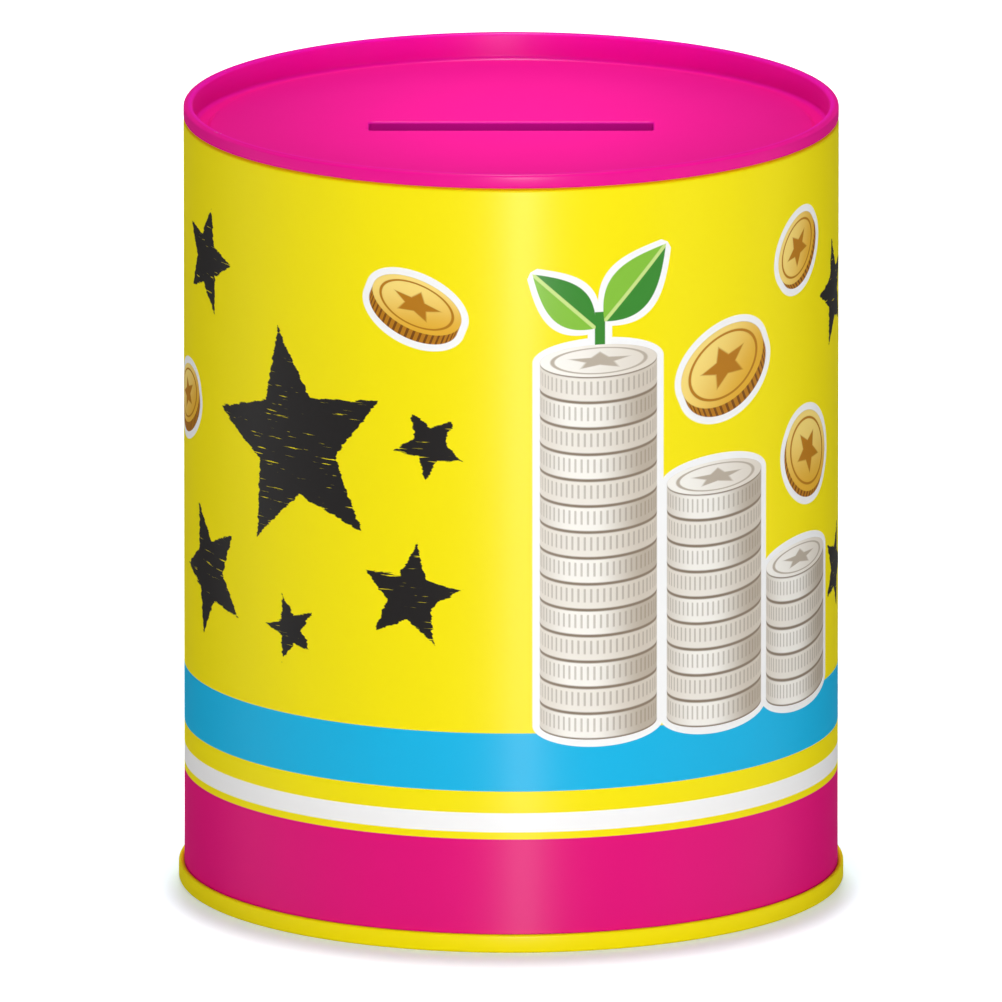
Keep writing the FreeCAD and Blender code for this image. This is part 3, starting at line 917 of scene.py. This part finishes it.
def makeBase():
    panel = baseSize["recess"] + seam["endSheet"] / 2
    groove = panel + baseSize["grooveDepth"]
    bead = panel + baseSize["beadHeight"]
    grooveInside = baseLayers["chuck"] - baseSize["grooveWidth"]
    lip = baseSize["hole"] / 2 + seam["endSheet"] / 2
    beadIn = baseSize["beadRadius"] - baseSize["beadWidth"] / 2
    beadOut = baseSize["beadRadius"] + baseSize["beadWidth"] / 2
    rim, rimBends = endRim(baseLayers, fromBase)
    corners = [
        (lip, baseSize["recess"] + baseSize["holeLip"]),
        (lip, panel),
        (beadIn, panel),
        (beadIn + baseSize["beadHeight"], bead),
        (beadOut - baseSize["beadHeight"], bead),
        (beadOut, panel),
        (grooveInside - baseSize["grooveDepth"], panel),
        (grooveInside, groove),
        (baseLayers["chuck"], groove),
    ] + rim
    bends = [baseSize["bend"]] * 7 + [baseSize["chuckBend"]] + rimBends
    base = drawLine("baseEnd", bendLine(corners, bends))
    spinRound(spinSteps)
    faceTheSheet(base, lambda at: abs(at.z - panel) < placeSlack, (0, 0, -1))
    thicken(base, seam["endSheet"], baseMaterial, tinplateMaterial)
    finishPiece(base, "base_end", "tin")


makeBase()


# soft stopper

plugSize = {
    "fit": 0.05,
    "seat": 0.05,
    "flange": 50.0,
    "flangeThickness": 1.6,
    "round": 0.5,
    "height": 8.0,
    "wall": 1.5,
    "rib": 0.5,
    "ribs": 2,
    "ribRoot": 0.06,
    "leadIn": 1.0,
    "web": 1.8,
    "grip": 4.6,
    "spinSteps": 192,
}


def makeStopper():
    neck = baseSize["hole"] / 2 - plugSize["fit"] - plugSize["rib"]
    cup = neck - plugSize["wall"]
    flangeTop = baseSize["recess"] - plugSize["seat"]
    flangeFoot = flangeTop - plugSize["flangeThickness"]
    roofTop = flangeTop + plugSize["height"]
    roofUnder = roofTop - plugSize["wall"]
    flange = plugSize["flange"] / 2
    corners = [(0, roofTop), (neck - plugSize["leadIn"], roofTop), (neck, roofTop - 2 * plugSize["leadIn"])]
    rounds = [plugSize["round"]] * 2
    pitch = baseSize["holeLip"] / (plugSize["ribs"] + 1)
    for number in range(plugSize["ribs"], 0, -1):
        level = baseSize["recess"] + number * pitch
        ribOut = neck + plugSize["rib"]
        corners += [(neck, level + plugSize["rib"]), (ribOut, level + plugSize["rib"]),
                    (ribOut, level - plugSize["rib"]), (neck, level - plugSize["rib"])]
        rounds += [plugSize["ribRoot"], plugSize["rib"], plugSize["rib"], plugSize["ribRoot"]]
    corners += [(neck, flangeTop), (flange, flangeTop), (flange, flangeFoot), (cup, flangeFoot)]
    corners += [(cup, roofUnder), (0, roofUnder)]
    rounds += [plugSize["round"] / 2] + [plugSize["round"]] * 4
    stopper = drawLine("stopperPlug", bendLine(corners, rounds, 5))
    spinRound(plugSize["spinSteps"])
    bpy.ops.object.mode_set(mode="OBJECT")

    gripRadius = plugSize["grip"] / 2
    barLevel = flangeFoot + gripRadius
    halfSpan = cup + plugSize["wall"] / 2
    clearSelection()
    bpy.ops.mesh.primitive_cylinder_add(vertices=64, radius=gripRadius * mm, depth=2 * halfSpan * mm,
                                        location=(0, 0, barLevel * mm), rotation=(0, math.pi / 2, 0))
    grip = bpy.context.object
    bpy.ops.object.transform_apply(location=True, rotation=True, scale=True)
    bpy.ops.object.mode_set(mode="EDIT")
    pickFaces(grip, lambda at, normal: normal.z > 0.9 and abs(at.y) < plugSize["web"] / 2)
    bpy.ops.mesh.extrude_region_move(TRANSFORM_OT_translate={
        "value": (0, 0, (roofUnder + plugSize["wall"] / 2 - barLevel - gripRadius) * mm)})
    mergeDoubles()
    bpy.ops.object.mode_set(mode="OBJECT")

    clearSelection()
    stopper.select_set(True)
    bpy.context.view_layer.objects.active = stopper
    weld = stopper.modifiers.new("weld", "BOOLEAN")
    weld.operation = "UNION"
    weld.solver = "EXACT"
    weld.object = grip
    bpy.ops.object.modifier_apply(modifier="weld")
    bpy.data.objects.remove(grip)
    stopper.data.materials.append(plasticMaterial)
    finishPiece(stopper, "base_stopper", "stopper", 32)


makeStopper()
for name in ("top_seam_compound", "base_seam_compound"):
    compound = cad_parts[name]
    compound.data.materials.clear()
    compound.data.materials.append(compoundMaterial)
print("pieces made")


# studio

studio = {
    "floorRadius": 4.0,
    "floorHole": 0.0475,  # under the box, so that the base is lit in views from below
    "floorInk": ink(184, 184, 184),  # what the box gets back from the paper
    "floorFibre": ink(188, 188, 188),
    "floorSeen": ink(246, 249, 249),  # the paper in the camera and in reflections
    "floorNear": ink(217, 239, 251),  # a cyan tint painted beside the box, against the colour that the print throws on it
    "floorLift": (0.34, 0.68),  # a painted glow that brings the paper to white; weaker beside the box, which keeps its shadow dark there, and stronger far from it
    "floorFar": (0.0495, 0.067),
    "horizon": 1.0,
    "sky": 0.14,
    "under": 1.0,
}


def makeFloor():
    clearSelection()
    bpy.ops.mesh.primitive_circle_add(vertices=128, radius=studio["floorRadius"], fill_type="NOTHING")
    floor = bpy.context.object
    floor.name = floor.data.name = "studioFloor"
    bpy.ops.object.mode_set(mode="EDIT")
    bpy.ops.mesh.primitive_circle_add(vertices=128, radius=studio["floorHole"], fill_type="NOTHING")
    bpy.ops.mesh.select_all(action="SELECT")
    bpy.ops.mesh.bridge_edge_loops()
    faceTheSheet(floor, lambda at: True, (0, 0, 1))
    bpy.ops.object.mode_set(mode="OBJECT")
    material = bpy.data.materials.new("studioPaper")
    material.use_nodes = True
    tree = material.node_tree
    tree.nodes.clear()
    paper = tree.nodes.new("ShaderNodeBsdfDiffuse")
    place = tree.nodes.new("ShaderNodeTexCoord").outputs["Object"]
    fibres = noiseAt(tree, place, 1.5, 3.0)
    path = tree.nodes.new("ShaderNodeLightPath").outputs
    seen = calc(tree, "MAXIMUM", path["Is Camera Ray"], path["Is Glossy Ray"])
    seen = calc(tree, "MAXIMUM", seen, path["Is Transmission Ray"])
    pulp = blendInk(tree, fibres, studio["floorInk"], studio["floorFibre"])
    lift = tree.nodes.new("ShaderNodeEmission")
    # painted light on the paper: beside the box the glow is weaker and the tint cyan, which keeps the box's
    # shadow dark and neutral there
    nearLift, farLift = studio["floorLift"]
    fromBox = tree.nodes.new("ShaderNodeVectorMath")
    fromBox.operation = "LENGTH"
    plug(tree, fromBox.inputs[0], place)
    away = ease(tree, fromBox.outputs["Value"], *studio["floorFar"])
    sheet = blendInk(tree, away, studio["floorNear"], studio["floorSeen"])
    plug(tree, paper.inputs["Color"], blendInk(tree, seen, pulp, sheet))
    liftNow = calc(tree, "MULTIPLY_ADD", away, farLift - nearLift, nearLift)
    plug(tree, lift.inputs["Strength"], calc(tree, "MULTIPLY", seen, liftNow))
    lifted = tree.nodes.new("ShaderNodeAddShader")
    tree.links.new(paper.outputs[0], lifted.inputs[0])
    tree.links.new(lift.outputs[0], lifted.inputs[1])
    seeThrough = tree.nodes.new("ShaderNodeBsdfTransparent")
    sides = tree.nodes.new("ShaderNodeMixShader")
    plug(tree, sides.inputs[0], tree.nodes.new("ShaderNodeNewGeometry").outputs["Backfacing"])
    tree.links.new(lifted.outputs[0], sides.inputs[1])
    tree.links.new(seeThrough.outputs[0], sides.inputs[2])
    tree.links.new(sides.outputs[0], tree.nodes.new("ShaderNodeOutputMaterial").inputs["Surface"])
    floor.data.materials.append(material)


def makeWorld():
    world = bpy.data.worlds.new("studioAir")
    bpy.context.scene.world = world
    world.use_nodes = True
    tree = world.node_tree
    air = tree.nodes["Background"]
    split = tree.nodes.new("ShaderNodeSeparateXYZ")
    plug(tree, split.inputs[0], tree.nodes.new("ShaderNodeTexCoord").outputs["Generated"])
    high = ease(tree, split.outputs["Z"], 0.02, 0.14)
    low = ease(tree, split.outputs["Z"], -0.02, -0.14)
    strength = calc(tree, "MULTIPLY_ADD", high, studio["sky"] - studio["horizon"], studio["horizon"])
    strength = calc(tree, "MULTIPLY_ADD", low, studio["under"] - studio["horizon"], strength)
    plug(tree, air.inputs["Strength"], strength)
    air.inputs["Color"].default_value = (1, 1, 1, 1)


lamps = [  # name, place, size, power, shows in the varnish
    ("overhead", (0, 0.24, 3.2), (0.1, 0.34), 50.7, True),
    ("frontSoft", (0, -1.6, 0.6), (0.9, 0.6), 2.6, True),
    ("frontStrip", (0.11, -1.6, 0.12), (0.06, 0.2), 12.0, True),
    ("rightFill", (1.39, -0.8, 0.12), (0.5, 0.5), 3.5, False),
    ("leftFill", (-1.39, -0.8, 0.12), (0.5, 0.5), 2.0, False),
    ("leftRim", (-1.03, 1.23, 0.12), (0.5, 0.5), 6.6, False),
    ("backFill", (0, 1.7, 0.35), (1.4, 0.6), 9.0, False),
]
lidSpot = {
    "place": (0, -0.5, 1.55),
    "aim": (0.001, 0.007, 0.117),
    "cone": 3.3,
    "oval": 1.3,  # longer from front to back
    "softness": 0.02,
    "power": 45.0,
}


def hangLamp(data, place, aim):
    lamp = bpy.data.objects.new(data.name, data)
    bpy.context.scene.collection.objects.link(lamp)
    lamp.location = place
    lamp.rotation_euler = (Vector(aim) - Vector(place)).to_track_quat("-Z", "Y").to_euler()
    lamp.visible_camera = False
    return lamp


def makeLamps():
    middle = (0, 0, tinHeight / 2 * mm)
    for name, place, size, power, shine in lamps:
        data = bpy.data.lights.new(name, "AREA")
        data.shape = "RECTANGLE"
        data.size, data.size_y = size
        data.energy = power
        hangLamp(data, place, middle).visible_glossy = shine
    data = bpy.data.lights.new("lidSpot", "SPOT")
    data.spot_size = math.radians(lidSpot["cone"])
    data.spot_blend = 1.0
    data.shadow_soft_size = lidSpot["softness"]
    data.energy = lidSpot["power"]
    hangLamp(data, lidSpot["place"], lidSpot["aim"]).scale = (1, lidSpot["oval"], 1)


makeFloor()
makeWorld()
makeLamps()

cameraSetup = {
    "elevation": 13.15,
    "lens": 1700.0,
    "pixels": 1002,  # width of the picture
    "wallPixels": 654.2,  # width of the box in it
    "middlePixel": (511.15, 489.46),  # where the middle of the box shows
}


def makeCamera():
    data = bpy.data.cameras.new("photoCamera")
    camera = bpy.data.objects.new("photoCamera", data)
    bpy.context.scene.collection.objects.link(camera)
    bpy.context.scene.camera = camera
    data.lens = cameraSetup["lens"]
    metresPerPixel = 2 * rimRadius * mm / cameraSetup["wallPixels"]
    elevation = math.radians(cameraSetup["elevation"])
    centre = cameraSetup["pixels"] / 2
    across, down = cameraSetup["middlePixel"]
    aim = Vector((
        (centre - across) * metresPerPixel,
        0,
        tinHeight / 2 * mm - (centre - down) * metresPerPixel / math.cos(elevation),
    ))
    distance = data.lens / data.sensor_width * cameraSetup["pixels"] * metresPerPixel
    camera.location = aim + Vector((0, -math.cos(elevation), math.sin(elevation))) * distance
    camera.rotation_euler = (aim - camera.location).to_track_quat("-Z", "Y").to_euler()
    data.clip_end = 3 * distance


makeCamera()
bpy.context.scene.view_settings.view_transform = "Standard"
print("studio made")
